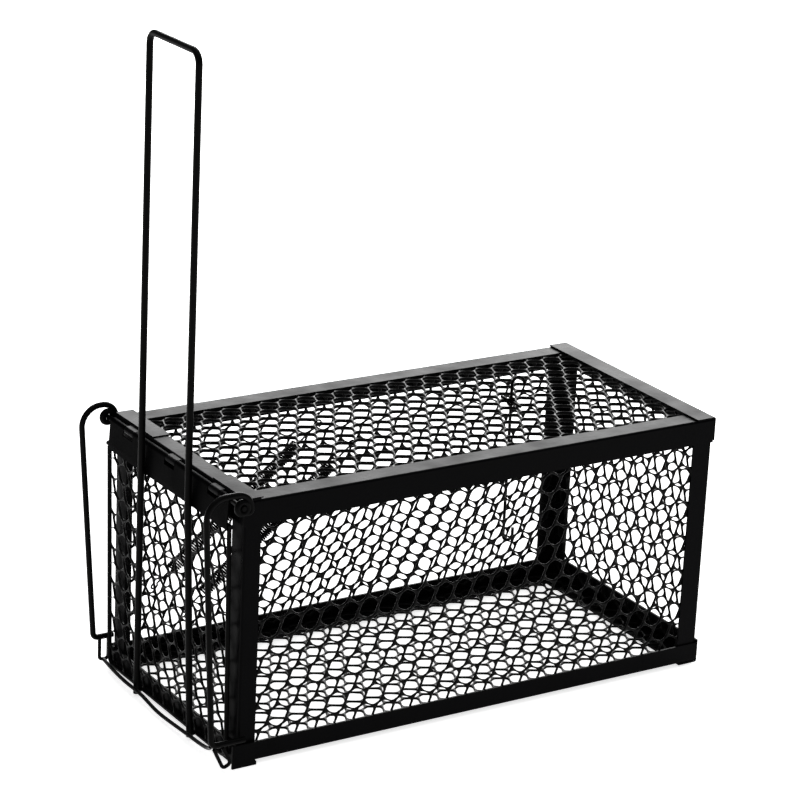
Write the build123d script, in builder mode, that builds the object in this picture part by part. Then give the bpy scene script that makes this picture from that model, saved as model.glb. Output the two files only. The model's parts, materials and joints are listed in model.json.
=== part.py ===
from build123d import *
import math
import os

# Live catch cage trap. Millimetres, +Z up. X runs along the cage with the door at -X, Y across it.
# The pieces are drawn from the middle of the cage's footprint and exported from the whole trap's.

# --- driving dimensions: cage ---------------------------------------------------------------------
cage_length = 240.0
cage_width = 116.0
cage_top = 119.6
strip_lift = 1.6             # the long bottom strips' lower edge above the floor
sheet = 0.8                  # steel strip thickness
bend = 1.0                   # outside radius of a folded strip
top_side_flange = 11.0       # long top strips, down the side
top_flange = 10.0            # long strips, across the top and the floor
bottom_side_flange = 8.7     # long bottom strips, up the side
front_post_side = 8.0        # corner posts, along the side
rear_post_side = 10.0
front_post_end = 10.0        # corner posts, across the end
rear_post_end = 10.0
end_strip_face = 11.0        # header and rear strips, over the end
header_flange = 8.0
rear_flange = 10.0
sill_face = 10.0
sill_flange = 9.0
sill_tab_rear = 111.6        # folded end tabs of the sill run from here ...
near_tab_front = 122.6        # ... to here on the near side, and to the sill's face on the far one
sill_tab_height = 10.5
lap_sheet = 0.5              # folded ends of the long strips, lapped over the header
lap_front = 119.2
lap_rear = 111.0
lap_inner = {"near": 30.0, "far": 23.4}
rear_foot_radius = 2.5
rear_foot_y = 40.0

# --- driving dimensions: wire mesh ----------------------------------------------------------------
mesh_thickness = 0.8
cell_pitch = 9.5             # width of one cell and one strand
strand = 1.0
mesh_border = 1.0            # solid edge of a mesh sheet

# --- driving dimensions: hinge and door -----------------------------------------------------------
hinge_x = -122.0
hinge_z = 117.6
hinge_rod_radius = 1.1
hinge_rod_half = 61.9
running_clearance = 0.05
knuckle_sheet = 0.5
knuckle_positions = (-38.0, 0.0, 38.0)   # the header's knuckles across the door
knuckle_width = 8.0
knuckle_gap = 0.4
door_tilt = 0.8              # degrees; the door's lower edge leans back to the sill
leaf_near = -51.5
leaf_far = 54.8
leaf_drop = 12.6             # hinge axis down to the leaf's lower edge
leaf_notch_drop = 2.6
door_rod_radius = 1.0
door_rod_offset = 0.9        # door rods' axes in front of the hinge axis
door_near = -51.0            # the side rods' axes; the door has slid along its hinge to the far side
door_far = 56.7
door_top_rod_excess = 1.5
door_top_drop = 11.1
door_bottom_drop = 115.2
door_cell_drop = 62.25       # the cells of the door's mesh are counted from here
door_corner = 4.0

# --- driving dimensions: lever --------------------------------------------------------------------
lever_radius = 1.5
lever_offset = 3.95          # legs' axes in front of the hinge axis
lever_x = -125.2             # crossbar
lever_top = 297.1            # crossbar's axis above the floor
lever_half_top = 21.0
lever_half_bottom = 24.5
lever_bend = 5.0
lever_knee_drop = 9.0        # hinge axis down to where the legs start to follow the door
lever_knee_radius = 60.0
lever_end_drop = 116.4
weld_radius = 1.0

# --- driving dimensions: lock bail ----------------------------------------------------------------
arm_radius = 1.3
arm_y = 60.4
arm_eye_radius = 1.35        # wire of the eyes, a little flattened
arm_rear_x = -118.0          # the arms fold over the hinge rod and rest here behind it
arm_rear_z = 115.15
arm_top_z = 123.5
arm_foot_z = 13.8
arm_top_x = {"near": -139.0, "far": -135.0}
arm_foot_x = {"near": -133.7, "far": -127.7}
arm_bends = (1.4, 6.5, 9.0, 2.5)
stirrup_radius = 0.8
stirrup_bend = 1.5
stirrup_points = {           # X and Z of each hanging loop's corners
    "near": ((-132.4, 12.1), (-127.9, 2.6), (-124.2, 4.3), (-128.3, 12.1)),
    "far": ((-124.5, 12.5), (-124.5, 2.7), (-120.2, 2.7), (-120.2, 12.5)),
}
cross_radius = 0.85
cross_points = (             # X, Y and Z from the far loop to the near arm's foot
    (-122.8, 59.55, 2.8),
    (-125.2, 48.5, 4.2),
    (-127.1, 27.6, 4.8),
    (-127.3, 14.7, 5.0),
    (-127.6, 1.6, 3.8),
    (-127.9, -12.5, 4.0),
    (-128.3, -31.8, 5.3),
    (-130.5, -51.5, 8.7),
    (-133.2, -59.0, 13.0),
)

# --- driving dimensions: bait trigger -------------------------------------------------------------
trigger_x = 49.0
pin_radius = 0.7
pin_half = 7.5
trigger_radius = 0.7
trigger_eye_wire = 0.75
catch_rise = 7.9             # pivot up to the start of the catch's crook
catch_radius = 3.3
catch_tail = 0.6
bait_drop = 64.5             # pivot down to the start of the bait hook's curl
bait_curl = 2.5
bait_tip = 3.0

# --- driving dimensions: door springs -------------------------------------------------------------
spring_cell = 1.5            # spring's distance from the middle, in cells
spring_upper_cell = -4.5     # upper hook's place along the top mesh, in cells
coil_outer = 2.9
coil_inner = 2.1
spring_wire = 0.4
hook_ring = 1.5              # radius of an end hook, at the wire's axis
upper_tail = 13.0            # upper hook's centre to the coil
lower_tail = 10.0            # lower hook's centre to the coil

# --- values that follow ---------------------------------------------------------------------------
half_length = cage_length / 2
half_width = cage_width / 2
inner_length = half_length - sheet           # inside of the header, sill and rear strips
inner_width = half_width - sheet             # inside of the long strips
mesh_length = inner_length - sheet           # inside of the posts, along the cage
mesh_width = inner_width - sheet             # inside of the posts, across the cage
floor_mesh_z = strip_lift + sheet
top_mesh_z = cage_top - 2 * sheet - mesh_thickness
top_strip_z = cage_top - sheet
cell_radius = (cell_pitch - strand) / math.sqrt(3)
row_pitch = cell_pitch * math.sqrt(3) / 2
knuckle_bore = hinge_rod_radius + running_clearance
knuckle_outer = knuckle_bore + knuckle_sheet
tilt = math.radians(door_tilt)
door_down = Vector(math.sin(tilt), 0, -math.cos(tilt))
door_front = Vector(-math.cos(tilt), 0, -math.sin(tilt))
arm_eye = knuckle_bore + arm_eye_radius
trigger_z = top_mesh_z + mesh_thickness + pin_radius
trigger_eye = pin_radius + running_clearance + trigger_eye_wire
spring_y = spring_cell * cell_pitch

parts = {}
os.makedirs("parts", exist_ok=True)


def keep(builder, name):
    """Labels a finished piece and lists it for export."""
    builder.part.label = name
    parts[name] = builder.part


def door_point(drop, y, offset):
    """Point on the leaning door: drop below the hinge axis, offset in front of it."""
    on_plane = Vector(hinge_x, y, hinge_z) + door_down * drop + door_front * offset
    return tuple(on_plane)


def side_plane(x, y, z):
    """Plane seen from the near side: local axes run along X and Z, the normal along -Y."""
    return Plane(origin=(x, y, z), x_dir=(1, 0, 0), z_dir=(0, -1, 0))


def folded_strip(corner, run, length, first, first_width, second, second_width):
    """Angle strip running from a corner point, with two flanges."""
    plane = Plane(origin=corner, x_dir=first, z_dir=run)
    turn = 1 if plane.y_dir.dot(Vector(*second)) > 0 else -1
    with BuildPart() as strip:
        with BuildSketch(plane) as section:
            Polygon(
                (0, 0), (first_width, 0), (first_width, turn * sheet), (sheet, turn * sheet),
                (sheet, turn * second_width), (0, turn * second_width),
            )
            fillet(section.vertices().sort_by_distance((0, 0, 0))[0], bend)
        extrude(amount=length)
    return strip


def mesh_sheet(centre, across, normal, width, height, corner, slip=(0, 0)):
    """Sheet of staggered hexagonal cells, thickness along the normal; only whole cells are cut.

    The sheet's middle lies slip away from the centre that the cells are counted from.
    """
    reach_x = width / 2 - mesh_border - cell_radius
    reach_y = height / 2 - mesh_border - cell_radius
    rows = int((reach_y + abs(slip[1])) / row_pitch)
    columns = int((reach_x + abs(slip[0])) / cell_pitch) + 1
    cells = []
    for row in range(-rows, rows + 1):
        for column in range(-columns, columns + 1):
            x = (column + row % 2 / 2) * cell_pitch
            y = row * row_pitch
            if abs(x - slip[0]) <= reach_x and abs(y - slip[1]) <= reach_y:
                cells.append((x, y))
    with BuildPart() as panel:
        with BuildSketch(Plane(origin=centre, x_dir=across, z_dir=normal)):
            with Locations(slip):
                RectangleRounded(width, height, corner)
            with Locations(*cells):
                RegularPolygon(cell_radius, 6, rotation=30, mode=Mode.SUBTRACT)
        extrude(amount=mesh_thickness)
    return panel


def round_wire(corners, bends, radius):
    """Round wire through straight runs joined by bends."""
    with BuildPart() as wire:
        with BuildLine() as path:
            FilletPolyline(*corners, radius=bends)
        with BuildSketch(Plane(origin=path.line @ 0, z_dir=path.line % 0)):
            Circle(radius)
        sweep(path=path.line)
    return wire


def straight_rod(start, end, radius):
    """Round rod between two points."""
    run = Vector(*end) - Vector(*start)
    with BuildPart() as rod:
        with BuildSketch(Plane(origin=start, z_dir=run)):
            Circle(radius)
        extrude(amount=run.length)
    return rod


# --- long strips ----------------------------------------------------------------------------------
for name, side in (("near", -1), ("far", 1)):
    inward = (0, -side, 0)
    top_corner = (-inner_length, side * half_width, top_strip_z)
    top_strip = folded_strip(
        top_corner, (1, 0, 0), 2 * inner_length, inward, top_flange, (0, 0, -1), top_side_flange,
    )
    keep(top_strip, f"top_strip_{name}")
    bottom_corner = (-inner_length, side * half_width, strip_lift)
    bottom_strip = folded_strip(
        bottom_corner, (1, 0, 0), 2 * inner_length, inward, top_flange, (0, 0, 1), bottom_side_flange,
    )
    keep(bottom_strip, f"bottom_strip_{name}")

# --- corner posts ---------------------------------------------------------------------------------
post_height = top_strip_z - sheet - floor_mesh_z
post_sizes = (
    ("front", -1, front_post_end, front_post_side),
    ("rear", 1, rear_post_end, rear_post_side),
)
for end_name, end, end_width, side_width in post_sizes:
    for side_name, side in (("near", -1), ("far", 1)):
        corner = (end * inner_length, side * inner_width, floor_mesh_z)
        post = folded_strip(
            corner, (0, 0, 1), post_height, (0, -side, 0), end_width, (-end, 0, 0), side_width,
        )
        keep(post, f"post_{end_name}_{side_name}")

# --- rear strips ----------------------------------------------------------------------------------
rear_top_strip = folded_strip(
    (half_length, -half_width, cage_top), (0, 1, 0), cage_width,
    (-1, 0, 0), rear_flange, (0, 0, -1), end_strip_face,
)
keep(rear_top_strip, "rear_top_strip")

rear_angle = folded_strip(
    (half_length, -half_width, strip_lift - sheet), (0, 1, 0), cage_width,
    (-1, 0, 0), rear_flange, (0, 0, 1), end_strip_face,
)
with BuildPart() as rear_bottom_strip:
    add(rear_angle.part)
    with BuildSketch():
        with Locations(*[(half_length - rear_flange / 2, y) for y in (-rear_foot_y, rear_foot_y)]):
            Circle(rear_foot_radius)
    extrude(amount=strip_lift - sheet)
keep(rear_bottom_strip, "rear_bottom_strip")

# --- front header with its knuckles ---------------------------------------------------------------
header_angle = folded_strip(
    (-half_length, -half_width, cage_top), (0, 1, 0), cage_width,
    (1, 0, 0), header_flange, (0, 0, -1), end_strip_face,
)
with BuildPart() as front_header:
    add(header_angle.part)
    for knuckle_y in knuckle_positions:
        with BuildSketch(side_plane(hinge_x, knuckle_y + knuckle_width / 2, hinge_z)):
            Circle(hinge_rod_radius + knuckle_sheet)
            with Locations((0, hinge_rod_radius)):
                Rectangle(-half_length - hinge_x, knuckle_sheet, align=(Align.MIN, Align.MIN))
            Circle(hinge_rod_radius, mode=Mode.SUBTRACT)
        extrude(amount=knuckle_width)
    with BuildSketch(Plane.XY.offset(cage_top)):
        for inner, outer in ((-lap_inner["near"], -half_width), (lap_inner["far"], half_width)):
            with Locations((-(lap_front + lap_rear) / 2, (inner + outer) / 2)):
                Rectangle(lap_front - lap_rear, abs(outer - inner))
    extrude(amount=lap_sheet)
keep(front_header, "front_header")

# --- front sill with its folded end tabs ----------------------------------------------------------
sill_half = half_width + sheet
with BuildPart() as front_sill:
    with BuildSketch(side_plane(-half_length, sill_half, 0)):
        Polygon(
            (0, 0), (sill_flange, 0), (sill_flange, strip_lift), (sheet, strip_lift),
            (sheet, sill_face), (0, sill_face),
        )
    extrude(amount=2 * sill_half)
    for outer_y, tab_front in ((sill_half, half_length), (-half_width, near_tab_front)):
        with BuildSketch(side_plane(-tab_front, outer_y, 0)):
            Rectangle(tab_front - sill_tab_rear, sill_tab_height, align=(Align.MIN, Align.MIN))
        extrude(amount=sheet)
keep(front_sill, "front_sill")

# --- fixed mesh panels ----------------------------------------------------------------------------
side_mesh_height = top_mesh_z - floor_mesh_z - mesh_thickness
side_mesh_middle = (top_mesh_z + floor_mesh_z + mesh_thickness) / 2
side_mesh_length = 2 * (mesh_length - mesh_thickness)
end_mesh_length = 2 * mesh_length
top_mesh = mesh_sheet((0, 0, top_mesh_z), (1, 0, 0), (0, 0, 1), end_mesh_length, 2 * mesh_width, bend)
keep(top_mesh, "top_mesh")
floor_mesh = mesh_sheet((0, 0, floor_mesh_z), (1, 0, 0), (0, 0, 1), end_mesh_length, 2 * mesh_width, bend)
keep(floor_mesh, "floor_mesh")
for name, side in (("near", -1), ("far", 1)):
    centre = (0, side * (mesh_width - mesh_thickness), side_mesh_middle)
    side_mesh = mesh_sheet(centre, (1, 0, 0), (0, side, 0), side_mesh_length, side_mesh_height, bend)
    keep(side_mesh, f"side_mesh_{name}")
rear_mesh = mesh_sheet(
    (mesh_length - mesh_thickness, 0, side_mesh_middle), (0, 1, 0), (1, 0, 0),
    2 * mesh_width, side_mesh_height, bend,
)
keep(rear_mesh, "rear_mesh")

# --- hinge rod and door ---------------------------------------------------------------------------
hinge_rod = straight_rod(
    (hinge_x, -hinge_rod_half, hinge_z), (hinge_x, hinge_rod_half, hinge_z), hinge_rod_radius,
)
keep(hinge_rod, "hinge_rod")

leaf_inner = door_rod_offset + door_rod_radius
leaf_outer = leaf_inner + knuckle_sheet
leaf_knee = door_top_drop - door_rod_radius
door_section = Plane(
    origin=(hinge_x, leaf_near, hinge_z), x_dir=door_front, z_dir=(0, 1, 0),
)
with BuildPart() as door_leaf:
    with BuildSketch(door_section):
        Circle(knuckle_outer)
        Polygon(
            (knuckle_bore, 0), (leaf_inner, -leaf_knee), (leaf_inner, -leaf_drop),
            (leaf_outer, -leaf_drop), (leaf_outer, -leaf_knee), (knuckle_outer, 0),
        )
        Circle(knuckle_bore, mode=Mode.SUBTRACT)
    extrude(amount=leaf_far - leaf_near)
    for knuckle_y in knuckle_positions:
        notch_start = knuckle_y - knuckle_width / 2 - knuckle_gap
        with BuildSketch(door_section.offset(notch_start - leaf_near)):
            with Locations((0, knuckle_outer)):
                Rectangle(
                    4 * knuckle_outer, knuckle_outer + leaf_notch_drop, align=(Align.CENTER, Align.MAX),
                )
        extrude(amount=knuckle_width + 2 * knuckle_gap, mode=Mode.SUBTRACT)
keep(door_leaf, "door_leaf")

door_top_rod = straight_rod(
    door_point(door_top_drop, door_near - door_top_rod_excess, door_rod_offset),
    door_point(door_top_drop, door_far + door_top_rod_excess, door_rod_offset), door_rod_radius,
)
keep(door_top_rod, "door_top_rod")

side_rod_start = door_top_drop + door_rod_radius
door_edge_rod = round_wire(
    [
        door_point(side_rod_start, door_near, door_rod_offset),
        door_point(door_bottom_drop, door_near, door_rod_offset),
        door_point(door_bottom_drop, door_far, door_rod_offset),
        door_point(side_rod_start, door_far, door_rod_offset),
    ],
    (door_corner, door_corner), door_rod_radius,
)
keep(door_edge_rod, "door_edge_rod")

door_mesh_width = door_far - door_near - 2 * door_rod_radius
door_mesh_height = door_bottom_drop - door_top_drop - 2 * door_rod_radius
door_mesh_back = door_point(door_cell_drop, 0, door_rod_offset - mesh_thickness / 2)
mesh_slip = ((door_near + door_far) / 2, (door_top_drop + door_bottom_drop) / 2 - door_cell_drop)
door_mesh = mesh_sheet(
    door_mesh_back, (0, 1, 0), door_front, door_mesh_width, door_mesh_height, door_corner,
    mesh_slip,
)
keep(door_mesh, "door_mesh")

# --- lever ----------------------------------------------------------------------------------------
leg_ends = {}
for side in (-1, 1):
    leg_ends[side] = [
        door_point(lever_end_drop, side * lever_half_bottom, lever_offset),
        door_point(lever_knee_drop, side * lever_half_top, lever_offset),
        (lever_x, side * lever_half_top, lever_top),
    ]
lever = round_wire(
    leg_ends[-1] + leg_ends[1][::-1],
    (lever_knee_radius, lever_bend, lever_bend, lever_knee_radius), lever_radius,
)
keep(lever, "lever")

weld_offset = door_rod_offset + door_rod_radius
weld_length = lever_offset - lever_radius - weld_offset
leg_run = (door_bottom_drop - lever_knee_drop) / (lever_end_drop - lever_knee_drop)
weld_y = lever_half_top + (lever_half_bottom - lever_half_top) * leg_run
with BuildPart() as lever_welds:
    for side in (-1, 1):
        start = door_point(door_bottom_drop, side * weld_y, weld_offset)
        with BuildSketch(Plane(origin=start, z_dir=door_front)):
            Circle(weld_radius)
        extrude(amount=weld_length)
keep(lever_welds, "lever_welds")

# --- lock bail ------------------------------------------------------------------------------------
for name, side in (("near", -1), ("far", 1)):
    arm_points = (
        (hinge_x - arm_radius / 2, hinge_z - arm_eye), (arm_rear_x, arm_rear_z),
        (arm_rear_x, arm_top_z), (arm_top_x[name], arm_top_z),
        (arm_foot_x[name], arm_foot_z), (arm_rear_x, arm_foot_z),
    )
    arm_wire = round_wire([(x, side * arm_y, z) for x, z in arm_points], arm_bends, arm_radius)
    eye_plane = Plane(origin=(hinge_x, side * arm_y, hinge_z), x_dir=(-1, 0, 0), z_dir=(0, 0, 1))
    with BuildPart() as lock_arm:
        add(arm_wire.part)
        with BuildSketch(eye_plane):
            with Locations((arm_eye, 0)):
                Circle(arm_eye_radius)
        revolve(axis=Axis((hinge_x, side * arm_y, hinge_z), (0, 1, 0)))
    keep(lock_arm, f"lock_arm_{name}")
    lock_stirrup = round_wire(
        [(x, side * arm_y, z) for x, z in stirrup_points[name]],
        (stirrup_bend, stirrup_bend), stirrup_radius,
    )
    keep(lock_stirrup, f"lock_stirrup_{name}")

with BuildPart() as cross_wire:
    with BuildLine() as path:
        Spline(*cross_points)
    with BuildSketch(Plane(origin=path.line @ 0, z_dir=path.line % 0)):
        Circle(cross_radius)
    sweep(path=path.line)
keep(cross_wire, "cross_wire")

# --- bait trigger ---------------------------------------------------------------------------------
with BuildPart() as trigger:
    with BuildLine(side_plane(trigger_x, 0, trigger_z)) as catch_path:
        Line((0, trigger_eye), (0, catch_rise))
        ThreePointArc(
            (0, catch_rise), (catch_radius, catch_rise + catch_radius), (2 * catch_radius, catch_rise),
        )
        Line((2 * catch_radius, catch_rise), (2 * catch_radius, catch_rise - catch_tail))
    with BuildSketch(Plane(origin=catch_path.line @ 0, z_dir=catch_path.line % 0)):
        Circle(trigger_radius)
    sweep(path=catch_path.line)
    with BuildLine(side_plane(trigger_x, 0, trigger_z)) as bait_path:
        Line((0, -trigger_eye), (0, -bait_drop))
        ThreePointArc(
            (0, -bait_drop), (bait_curl, -bait_drop - bait_curl), (2 * bait_curl, -bait_drop),
        )
        Line((2 * bait_curl, -bait_drop), (2 * bait_curl, -bait_drop + bait_tip))
    with BuildSketch(Plane(origin=bait_path.line @ 0, z_dir=bait_path.line % 0)):
        Circle(trigger_radius)
    sweep(path=bait_path.line)
    with BuildSketch(Plane(origin=(trigger_x, 0, trigger_z), x_dir=(1, 0, 0), z_dir=(0, 0, 1))):
        with Locations((trigger_eye, 0)):
            Circle(trigger_eye_wire)
    revolve(axis=Axis((trigger_x, 0, trigger_z), (0, 1, 0)))
keep(trigger, "trigger")

trigger_pin = straight_rod((trigger_x, -pin_half, trigger_z), (trigger_x, pin_half, trigger_z), pin_radius)
keep(trigger_pin, "trigger_pin")

# --- door springs ---------------------------------------------------------------------------------
for name, side in (("near", -1), ("far", 1)):
    upper = Vector(spring_upper_cell * cell_pitch, side * spring_y, top_mesh_z + mesh_thickness / 2)
    lower = Vector(*door_point(door_cell_drop, side * spring_y, door_rod_offset))
    run = (lower - upper).normalized()
    coil_start = upper + run * upper_tail
    coil_end = lower - run * lower_tail
    ring_axis = run.cross(Vector(0, 1, 0))
    with BuildPart() as coil_spring:
        with BuildSketch(Plane(origin=coil_start, z_dir=run)):
            Circle(coil_outer)
        extrude(amount=(coil_end - coil_start).length)
        with BuildSketch(Plane(origin=coil_start + run * spring_wire * 2, z_dir=run)):
            Circle(coil_inner)
        extrude(amount=(coil_end - coil_start).length - 4 * spring_wire, mode=Mode.SUBTRACT)
        with BuildSketch(Plane(origin=upper + run * hook_ring, z_dir=run)):
            Circle(spring_wire)
        extrude(amount=upper_tail - hook_ring)
        with BuildSketch(Plane(origin=upper, x_dir=run, z_dir=ring_axis)):
            with Locations((hook_ring, 0)):
                Circle(spring_wire)
        revolve(axis=Axis(tuple(upper), (0, 1, 0)))
    keep(coil_spring, f"spring_{name}")
    with BuildPart() as door_hook:
        with BuildSketch(Plane(origin=coil_end, z_dir=run)):
            Circle(spring_wire)
        extrude(amount=lower_tail - hook_ring)
        with BuildSketch(Plane(origin=lower, x_dir=run, z_dir=(0, 1, 0))):
            with Locations((-hook_ring, 0)):
                Circle(spring_wire)
        revolve(axis=Axis(tuple(lower), tuple(ring_axis)))
    keep(door_hook, f"spring_hook_{name}")

# --- export, from the middle of the whole trap ------------------------------------------------------
front_x = min(piece.bounding_box().min.X for piece in parts.values())
rear_x = max(piece.bounding_box().max.X for piece in parts.values())
print("middle of the cage stands at X", round(-(front_x + rear_x) / 2, 4))
for name, piece in parts.items():
    placed = piece.moved(Location((-(front_x + rear_x) / 2, 0, 0)))
    placed.label = name
    export_step(placed, f"parts/{name}.step")
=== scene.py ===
import json
import math

import bmesh
import bpy
from mathutils import Matrix, Vector, noise

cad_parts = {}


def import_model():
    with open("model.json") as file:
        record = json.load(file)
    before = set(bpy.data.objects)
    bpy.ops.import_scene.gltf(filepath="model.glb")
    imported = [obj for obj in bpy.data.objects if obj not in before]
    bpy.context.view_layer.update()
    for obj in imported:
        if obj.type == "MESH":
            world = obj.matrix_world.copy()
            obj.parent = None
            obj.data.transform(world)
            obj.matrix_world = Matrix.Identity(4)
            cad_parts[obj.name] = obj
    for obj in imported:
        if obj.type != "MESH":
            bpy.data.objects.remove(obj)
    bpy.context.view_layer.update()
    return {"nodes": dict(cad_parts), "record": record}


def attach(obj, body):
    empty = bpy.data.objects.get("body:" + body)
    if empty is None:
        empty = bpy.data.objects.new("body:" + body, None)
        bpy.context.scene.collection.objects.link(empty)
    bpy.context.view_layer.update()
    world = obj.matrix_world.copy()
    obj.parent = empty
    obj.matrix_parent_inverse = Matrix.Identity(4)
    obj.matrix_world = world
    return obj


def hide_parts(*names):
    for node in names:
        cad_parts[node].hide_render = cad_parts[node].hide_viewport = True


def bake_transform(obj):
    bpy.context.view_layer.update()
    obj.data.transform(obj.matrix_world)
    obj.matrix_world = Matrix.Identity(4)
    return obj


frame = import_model()
MM = 0.001

# --- dimensions, in millimetres, as in the CAD ------------------------------------------------------
ORIGIN_SHIFT = 9.9273           # middle of the cage, from the row's origin
CELL_PITCH = 9.5
CELL_SIDE = CELL_PITCH / math.sqrt(3)
ROW_PITCH = CELL_PITCH * math.sqrt(3) / 2
HINGE = Vector((-122.0, 0.0, 117.6))
DOOR_TILT = math.radians(0.8)
DOOR_DOWN = Vector((math.sin(DOOR_TILT), 0, -math.cos(DOOR_TILT)))
DOOR_FRONT = Vector((-math.cos(DOOR_TILT), 0, -math.sin(DOOR_TILT)))
DOOR_CELLS = (62.25, 0.9)       # drop and offset of the point that the door's cells are counted from
TOP_MESH_Z = 117.6
FLOOR_MESH_Z = 2.8
SIDE_MESH_Y = 56.0
REAR_MESH_X = 118.0
WALL_MESH_Z = 60.2              # middle of the side and rear panels


def world(point):
    """A point in millimetres from the middle of the cage, as metres in the row frame."""
    return Vector((point[0] + ORIGIN_SHIFT, point[1], point[2])) * MM


def door_point(drop, y, offset):
    """Point on the leaning door, in millimetres: drop below the hinge axis, offset in front of it."""
    return HINGE + Vector((0, y, 0)) + DOOR_DOWN * drop + DOOR_FRONT * offset


def link(obj):
    """Puts an object in the scene."""
    bpy.context.scene.collection.objects.link(obj)
    return obj


def finished_mesh(name, bm):
    """Turns a bmesh into a mesh and frees it."""
    mesh = bpy.data.meshes.new(name)
    bm.to_mesh(mesh)
    bm.free()
    return mesh


# --- materials --------------------------------------------------------------------------------------
def black_paint(name, colour, roughness, bump, grain, gloss, wear=0.25):
    """Black stoved paint on steel: slight orange peel, and cloudy patches of duller and shinier paint."""
    mat = bpy.data.materials.new(name)
    mat.use_nodes = True
    nodes, links = mat.node_tree.nodes, mat.node_tree.links
    shader = nodes["Principled BSDF"]
    shader.inputs["Specular IOR Level"].default_value = gloss
    coords = nodes.new("ShaderNodeTexCoord")
    cloud = nodes.new("ShaderNodeTexNoise")
    cloud.inputs["Scale"].default_value = grain * 0.12
    cloud.inputs["Detail"].default_value = 4.0
    links.new(coords.outputs["Object"], cloud.inputs["Vector"])
    rough = nodes.new("ShaderNodeMapRange")
    rough.inputs["From Min"].default_value = 0.3
    rough.inputs["From Max"].default_value = 0.7
    rough.inputs["To Min"].default_value = roughness * (1 - wear)
    rough.inputs["To Max"].default_value = roughness * (1 + wear)
    links.new(cloud.outputs["Fac"], rough.inputs["Value"])
    links.new(rough.outputs["Result"], shader.inputs["Roughness"])
    tint = nodes.new("ShaderNodeMix")
    tint.data_type = "RGBA"
    tint.inputs["A"].default_value = (*(c * 0.7 for c in colour), 1)
    tint.inputs["B"].default_value = (*(c * 1.4 for c in colour), 1)
    links.new(cloud.outputs["Fac"], tint.inputs["Factor"])
    links.new(tint.outputs["Result"], shader.inputs["Base Color"])
    peel = nodes.new("ShaderNodeTexNoise")
    peel.inputs["Scale"].default_value = grain
    peel.inputs["Detail"].default_value = 2.0
    links.new(coords.outputs["Object"], peel.inputs["Vector"])
    height = nodes.new("ShaderNodeBump")
    height.inputs["Strength"].default_value = bump
    height.inputs["Distance"].default_value = 0.0002
    links.new(peel.outputs["Fac"], height.inputs["Height"])
    links.new(height.outputs["Normal"], shader.inputs["Normal"])
    return mat


STRIP = black_paint("strip paint", (0.0015, 0.0015, 0.0017), 0.34, 0.25, 600, 0.018)
# Door leaf: a darker, less glossy copy of the strip paint. This is painted shade, standing in for the
# shade and dimmer reflection under the header.
SHADED_LEAF_PAINT = black_paint("door leaf painted shade", (0.0012, 0.0012, 0.0013), 0.4, 0.25, 600, 0.004)
MESH = black_paint("mesh paint", (0.0025, 0.0025, 0.0025), 0.34, 0.2, 900, 0.045)
ROD = black_paint("rod paint", (0.0015, 0.0015, 0.0015), 0.35, 0.15, 900, 0.03)
SPRING = black_paint("spring paint", (0.002, 0.002, 0.002), 0.4, 0.1, 1200, 0.03)
FINISH = {"strip": STRIP, "mesh": MESH, "rod": ROD, "wire": ROD, "spring": SPRING}


def new_piece(name, mesh, slot_name, body, nodes):
    """Adds a finished mesh as a piece that rides on a body, if one is given, and stands for CAD nodes."""
    obj = link(bpy.data.objects.new(name, mesh))
    mesh.materials.append(FINISH[slot_name])
    for face in mesh.polygons:
        face.use_smooth = True
    if body:
        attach(obj, body)
    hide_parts(*nodes)
    return obj


# --- wire mesh panels -------------------------------------------------------------------------------
STRANDS = (0.7, 1.0, 0.92)      # widths of the wires by direction, in turn round a cell
STRAND_DEPTH = 1.1              # thickness of a panel's wires
TOP_STRAND_DEPTH = 1.6
EDGE_STEPS = 6                  # samples along each side of a cell
PROFILE = (0.0, 0.45, 0.8, 1.0)     # samples across half a strand, as shares of it
EDGE_MARGIN = 0.5               # a cell is left out if its middle lies closer to the panel's edge
SWIRL = 0.12                    # turn of each wire joint, in radians
SKEW = 0.08                     # sideways shift of the two kinds of wire joint, in cells
WANDER = 0.35                   # uneven hand of the mesh
WANDER_RATE = 0.11              # how fast it changes along the mesh, per millimetre
WANDER_SEED = 4.7


def cell_corners(cx, cy):
    """Six wire joints round a cell, upright, each with its shift."""
    corners = []
    for k in range(6):
        angle = math.radians(30 + 60 * k)
        x = cx + CELL_SIDE * math.cos(angle)
        y = cy + CELL_SIDE * math.sin(angle)
        x += SKEW * CELL_PITCH * (-1 if k % 2 else 1)
        drift = noise.noise_vector(Vector((x * WANDER_RATE, y * WANDER_RATE, WANDER_SEED)))
        corners.append(Vector((x + WANDER * drift.x, y + WANDER * drift.y)))
    return corners


def cell_rings(corners):
    """Matching samples along the wires' centre line and along the rounded hole.

    The hole's rim is a chain of quadratic curves between the middles of the inset sides.
    """
    inset = []
    for k, corner in enumerate(corners):
        before = (corners[k - 1] - corner).normalized()
        after = (corners[(k + 1) % 6] - corner).normalized()
        span = abs(before.x * after.y - before.y * after.x)
        inset.append(corner + (after * STRANDS[(k - 1) % 3] + before * STRANDS[k % 3]) / (2 * span))
    outer, hole = [], []
    for k in range(6):
        a, b, c, d = inset[k - 1], inset[k], inset[(k + 1) % 6], inset[(k + 2) % 6]
        for step in range(EDGE_STEPS):
            t = step / EDGE_STEPS
            outer.append(corners[k].lerp(corners[(k + 1) % 6], t))
            if t <= 0.5:
                u = 0.5 + t
                start, bend, end = (a + b) / 2, b, (b + c) / 2
            else:
                u = t - 0.5
                start, bend, end = (b + c) / 2, c, (c + d) / 2
            hole.append(start * (1 - u) ** 2 + bend * (2 * u * (1 - u)) + end * u ** 2)
    return outer, hole


def swirl(point, joint):
    """Turns a point about the nearest wire joint, so that the wires between joints run in an S."""
    arm = point - joint
    near = max(0.0, 1 - (arm.length / (CELL_SIDE / 2)) ** 2)
    return joint + Matrix.Rotation(SWIRL * near, 2) @ arm


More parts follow.
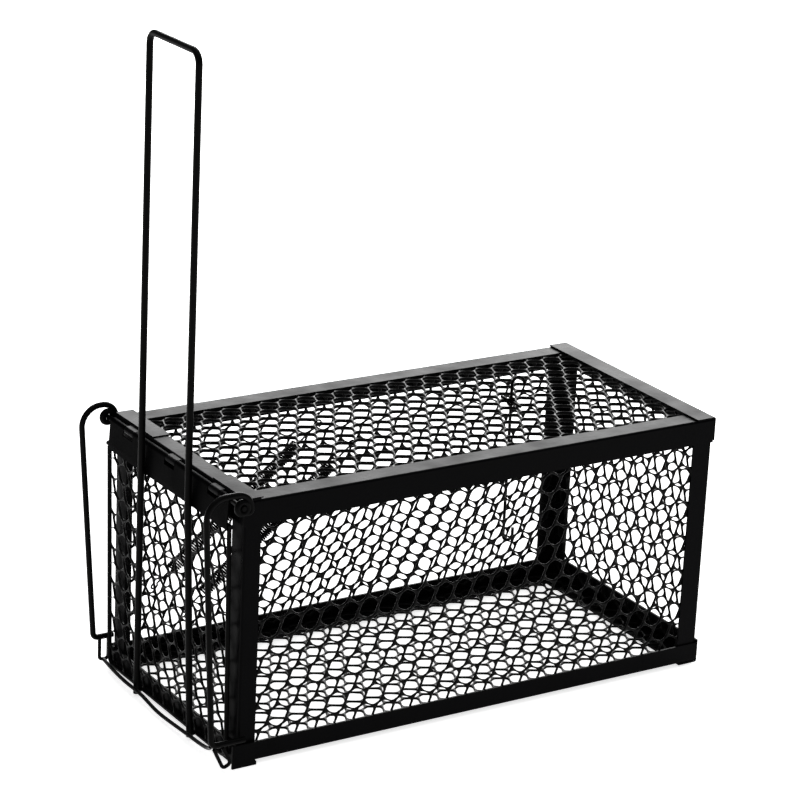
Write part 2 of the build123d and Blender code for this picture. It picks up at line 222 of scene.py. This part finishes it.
def mesh_panel(name, node, body, centre, across, up, size, depth=STRAND_DEPTH, slip=(0, 0)):
    """Rounded-cell wire mesh in a plane; cells past the edge are pressed flat against it.

    The cells are counted from the centre, and the panel's middle lies slip away from it.
    """
    across, up = Vector(across), Vector(up)
    normal = across.cross(up)
    bm = bmesh.new()
    layers = []
    for s in PROFILE:
        layers.append((s, math.sqrt(1 - s ** 2) * depth / 2))
    for s, h in reversed(layers[:-1]):
        layers.append((s, -h))
    left, right = slip[0] - size[0] / 2, slip[0] + size[0] / 2
    bottom, top = slip[1] - size[1] / 2, slip[1] + size[1] / 2
    rows = int(max(top, -bottom) / ROW_PITCH) + 1
    columns = int(max(right, -left) / CELL_PITCH) + 1
    for row in range(-rows, rows + 1):
        for column in range(-columns, columns + 1):
            cx = (column + row % 2 / 2) * CELL_PITCH
            cy = row * ROW_PITCH
            if min(cx - left, right - cx, cy - bottom, top - cy) <= EDGE_MARGIN:
                continue
            corners = cell_corners(cx, cy)
            outer, hole = cell_rings(corners)
            rings = []
            for s, h in layers:
                ring = []
                for i, (p, q) in enumerate(zip(outer, hole)):
                    joint = corners[(2 * i + EDGE_STEPS) // (2 * EDGE_STEPS) % 6]
                    flat = swirl(p.lerp(q, s), joint)
                    x = max(left, min(right, flat.x))
                    y = max(bottom, min(top, flat.y))
                    ring.append(bm.verts.new(world(centre + across * x + up * y + normal * h)))
                rings.append(ring)
            count = len(outer)
            for low, high in zip(rings, rings[1:]):
                for i in range(count):
                    j = (i + 1) % count
                    bm.faces.new((low[i], low[j], high[j], high[i]))
    bmesh.ops.remove_doubles(bm, verts=bm.verts, dist=1e-6)
    bmesh.ops.dissolve_degenerate(bm, dist=1e-7, edges=bm.edges)
    bmesh.ops.recalc_face_normals(bm, faces=bm.faces)
    new_piece(name, finished_mesh(name, bm), "mesh", body, (node,))


FLAT_SIZE = (236.8, 112.8)
SIDE_SIZE = (235.2, 114.0)
REAR_SIZE = (112.8, 114.0)
DOOR_SIZE = (105.7, 102.1)
DOOR_SLIP = (2.85, -0.9)
ALONG, ACROSS, UP = (1, 0, 0), (0, 1, 0), (0, 0, 1)
TOP_MIDDLE = Vector((0, 0, TOP_MESH_Z))
FLOOR_MIDDLE = Vector((0, 0, FLOOR_MESH_Z))
REAR_MIDDLE = Vector((REAR_MESH_X, 0, WALL_MESH_Z))
DOOR_MIDDLE = door_point(DOOR_CELLS[0], 0, DOOR_CELLS[1])
mesh_panel(
    "top_wire_mesh", "top_mesh", "cage", TOP_MIDDLE, ALONG, ACROSS, FLAT_SIZE, TOP_STRAND_DEPTH,
)
mesh_panel("floor_wire_mesh", "floor_mesh", "cage", FLOOR_MIDDLE, ALONG, ACROSS, FLAT_SIZE)
for name, side in (("near", -1), ("far", 1)):
    side_middle = Vector((0, side * SIDE_MESH_Y, WALL_MESH_Z))
    mesh_panel(f"{name}_wire_mesh", f"side_mesh_{name}", "cage", side_middle, ALONG, UP, SIDE_SIZE)
mesh_panel("rear_wire_mesh", "rear_mesh", "cage", REAR_MIDDLE, ACROSS, UP, REAR_SIZE)
mesh_panel(
    "door_wire_mesh", "door_mesh", "door", DOOR_MIDDLE, ACROSS, -DOOR_DOWN, DOOR_SIZE,
    slip=DOOR_SLIP,
)


# --- springs ----------------------------------------------------------------------------------------
SPRING_Y = 14.25
SPRING_UPPER = (-42.75, TOP_MESH_Z)     # X and Z of the upper hook's hold on the top mesh
HOOK_RING = 1.5                 # radius of an end hook, at the wire's axis
HOOK_SWEEP = 300                # degrees that a hook's ring turns through
HOOK_STEPS = 16
UPPER_TAIL = 13.0               # upper hook's centre to the coil
LOWER_TAIL = 10.0
TAIL_GAP = 1.0                  # where the straight tail ends, before the coil
COIL_RADIUS = 2.48
COIL_PITCH = 1.0
COIL_STEPS = 14                 # samples in one turn
COIL_WIRE = 0.42
WIRE_SIDES = 6


def tube(bm, path, radius, sides):
    """Skin of a round wire along a list of points in millimetres, closed at its ends."""
    rings = []
    side = (path[1] - path[0]).normalized().orthogonal().normalized()
    for i, point in enumerate(path):
        ahead = path[min(i + 1, len(path) - 1)]
        behind = path[max(i - 1, 0)]
        run = (ahead - behind).normalized()
        side = (side - run * side.dot(run)).normalized()
        other = run.cross(side)
        ring = []
        for k in range(sides):
            angle = 2 * math.pi * k / sides
            rim = (side * math.cos(angle) + other * math.sin(angle)) * radius
            ring.append(bm.verts.new(world(point + rim)))
        rings.append(ring)
    for low, high in zip(rings, rings[1:]):
        for k in range(sides):
            n = (k + 1) % sides
            bm.faces.new((low[k], low[n], high[n], high[k]))
    bm.faces.new(rings[0][::-1])
    bm.faces.new(rings[-1])


def wound_spring(side):
    """Path of one door spring, upper ring hook, close coil, lower ring hook, and the coil's two ends."""
    upper = Vector((SPRING_UPPER[0], side * SPRING_Y, SPRING_UPPER[1]))
    lower = door_point(DOOR_CELLS[0], side * SPRING_Y, DOOR_CELLS[1])
    run = (lower - upper).normalized()
    sideways = Vector((0, 1, 0))
    lift = run.cross(sideways)
    coil_length = (lower - upper).length - UPPER_TAIL - LOWER_TAIL
    coil_start = upper + run * UPPER_TAIL
    path = []
    for k in range(HOOK_STEPS + 1):
        angle = math.radians(HOOK_SWEEP * (k / HOOK_STEPS - 1))
        path.append(upper + (run * math.cos(angle) + lift * math.sin(angle)) * HOOK_RING)
    path.append(coil_start - run * TAIL_GAP)
    count = int(coil_length / COIL_PITCH) * COIL_STEPS
    for k in range(count + 1):
        angle = 2 * math.pi * k / COIL_STEPS
        around = (sideways * math.cos(angle) + lift * math.sin(angle)) * COIL_RADIUS
        path.append(coil_start + run * (coil_length * k / count) + around)
    path.append(lower - run * (LOWER_TAIL - TAIL_GAP))
    for k in range(HOOK_STEPS + 1):
        angle = math.radians(180 + HOOK_SWEEP * k / HOOK_STEPS)
        path.append(lower + (run * math.cos(angle) + sideways * math.sin(angle)) * HOOK_RING)
    return path, coil_start, lower - run * LOWER_TAIL


for name, side in (("near", -1), ("far", 1)):
    path, start, end = wound_spring(side)
    bm = bmesh.new()
    tube(bm, path, COIL_WIRE, WIRE_SIDES)
    mesh = finished_mesh(f"spring_{name}_wire", bm)
    spring = new_piece(
        f"spring_{name}_coil", mesh, "spring", None, (f"spring_{name}", f"spring_hook_{name}"),
    )
    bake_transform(spring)

# --- CAD nodes that stay -----------------------------------------------------------------------------
for entry in frame["record"]["subparts"]:
    # The door leaf takes the darker copy of the strip paint, which is painted shade.
    paint = SHADED_LEAF_PAINT if entry["node"] == "door_leaf" else FINISH[entry["material_slot"]]
    for material_slot in frame["nodes"][entry["node"]].material_slots:
        material_slot.material = paint

# --- floor and backdrop -------------------------------------------------------------------------------
STUDIO_RADIUS = 6.0             # metres
STUDIO_HEIGHT = 4.0
FLOOR_Z = -0.0002

paper = bpy.data.materials.new("pale paper")
paper.use_nodes = True
paper_inputs = paper.node_tree.nodes["Principled BSDF"].inputs
paper_inputs["Base Color"].default_value = (0.92, 0.92, 0.92, 1)
paper_inputs["Roughness"].default_value = 0.9
paper_inputs["Emission Color"].default_value = (1, 1, 1, 1)
paper_inputs["Emission Strength"].default_value = 0.75

bm = bmesh.new()
for x, y in ((-1, -1), (1, -1), (1, 1), (-1, 1)):
    bm.verts.new((x * STUDIO_RADIUS, y * STUDIO_RADIUS, FLOOR_Z))
bm.faces.new(bm.verts)
floor = link(bpy.data.objects.new("floor", finished_mesh("floor", bm)))
floor.data.materials.append(paper)

bm = bmesh.new()
foot, head = [], []
for degrees in range(0, 360, 10):
    x = STUDIO_RADIUS * math.cos(math.radians(degrees))
    y = STUDIO_RADIUS * math.sin(math.radians(degrees))
    foot.append(bm.verts.new((x, y, FLOOR_Z)))
    head.append(bm.verts.new((x, y, STUDIO_HEIGHT)))
for i in range(len(foot)):
    bm.faces.new((foot[i - 1], foot[i], head[i], head[i - 1]))
backdrop = link(bpy.data.objects.new("backdrop", finished_mesh("backdrop", bm)))
backdrop.data.materials.append(paper)
backdrop.visible_diffuse = False
backdrop.visible_glossy = False
backdrop.visible_shadow = False

# --- light --------------------------------------------------------------------------------------------
sky = bpy.data.worlds.new("studio")
bpy.context.scene.world = sky
sky.use_nodes = True
sky_inputs = sky.node_tree.nodes["Background"].inputs
sky_inputs["Color"].default_value = (1, 1, 1, 1)
sky_inputs["Strength"].default_value = 0.25
bpy.context.scene.view_settings.view_transform = "Standard"


def soft_light(name, place, target, size, power):
    """Square area light, in metres and watts, unseen by the camera."""
    data = bpy.data.lights.new(name, "AREA")
    data.size = size
    data.energy = power
    lamp = link(bpy.data.objects.new(name, data))
    lamp.location = place
    lamp.visible_camera = False
    lamp.rotation_euler = (Vector(target) - Vector(place)).to_track_quat("-Z", "Y").to_euler()


soft_light("overhead", (0.0, 0.0, 2.2), (0, 0, 0), 3.0, 30)
soft_light("rear panel", (1.1, 1.5, 0.75), (0, 0, 0.12), 1.4, 55)

# --- camera -------------------------------------------------------------------------------------------
AZIMUTH = math.radians(-32.762)
ELEVATION = math.radians(19.219)
ROLL = math.radians(2.675)
AIM = world((0, 15.74, 121.63))
DISTANCE = 1.3625               # metres
LENS = 138.24

back = Vector((
    math.sin(AZIMUTH) * math.cos(ELEVATION),
    -math.cos(AZIMUTH) * math.cos(ELEVATION),
    math.sin(ELEVATION),
))
level = Vector((math.cos(AZIMUTH), math.sin(AZIMUTH), 0))
upright = back.cross(level)
right = level * math.cos(ROLL) + upright * math.sin(ROLL)
up = upright * math.cos(ROLL) - level * math.sin(ROLL)
camera_data = bpy.data.cameras.new("camera")
camera_data.sensor_width = 36.0
camera_data.lens = LENS
camera_data.clip_end = 50.0
camera = link(bpy.data.objects.new("camera", camera_data))
turn = Matrix((right, up, back)).transposed().to_4x4()
camera.matrix_world = Matrix.Translation(AIM + back * DISTANCE) @ turn
bpy.context.scene.camera = camera
